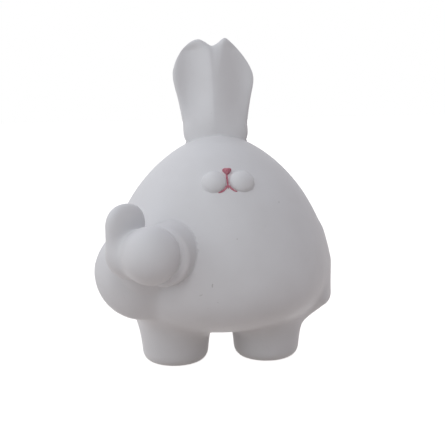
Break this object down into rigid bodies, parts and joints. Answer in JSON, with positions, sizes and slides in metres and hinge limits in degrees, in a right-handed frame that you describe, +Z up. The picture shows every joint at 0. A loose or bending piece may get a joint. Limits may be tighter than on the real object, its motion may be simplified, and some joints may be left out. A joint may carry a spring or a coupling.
{
  "type": "rabbit figurine",
  "caption": "Free-standing table ornament of a plump upright rabbit giving a thumbs-up, hollow cast in separate pieces seated on steel dowels, with a stopper under the belly",
  "frame": {"origin": "on the floor, below the middle of the whole figure's box", "axes": "+Z up, -Y towards the figure's front, +X towards its hanging arm, which is the right as seen from the front"},
  "size_m": [0.2026, 0.2148, 0.2722],
  "materials": {
    "white_resin": "satin white paint sprayed over filled and sanded cast polyresin",
    "pink_paint": "hand-brushed dusty pink paint",
    "dowel_steel": "plain cut steel rod",
    "felt": "pressed felt",
    "soft_vinyl": "soft matte moulding"
  },
  "bodies": {
    "figurine": {"body_shell": "white_resin", "ears": "white_resin", "ear_pins": "dowel_steel", "raised_arm": "white_resin", "arm_pin": "dowel_steel", "thumbs_up_hand": "white_resin", "hand_pin": "dowel_steel", "hanging_arm": "white_resin", "hanging_arm_pin": "dowel_steel", "left_leg": "white_resin", "right_leg": "white_resin", "leg_pins": "dowel_steel", "left_muzzle_pad": "white_resin", "right_muzzle_pad": "white_resin", "nose": "pink_paint", "mouth_line": "pink_paint", "tail": "white_resin", "tail_pin": "dowel_steel", "left_foot_pad": "felt", "right_foot_pad": "felt"},
    "stopper": {"base_stopper": "soft_vinyl"}
  },
  "joints": [
    {"name": "stopper_pull", "type": "slide", "parent": "figurine", "child": "stopper", "axis": [0, 0, -1], "range_m": [0, 0.016]}
  ]
}
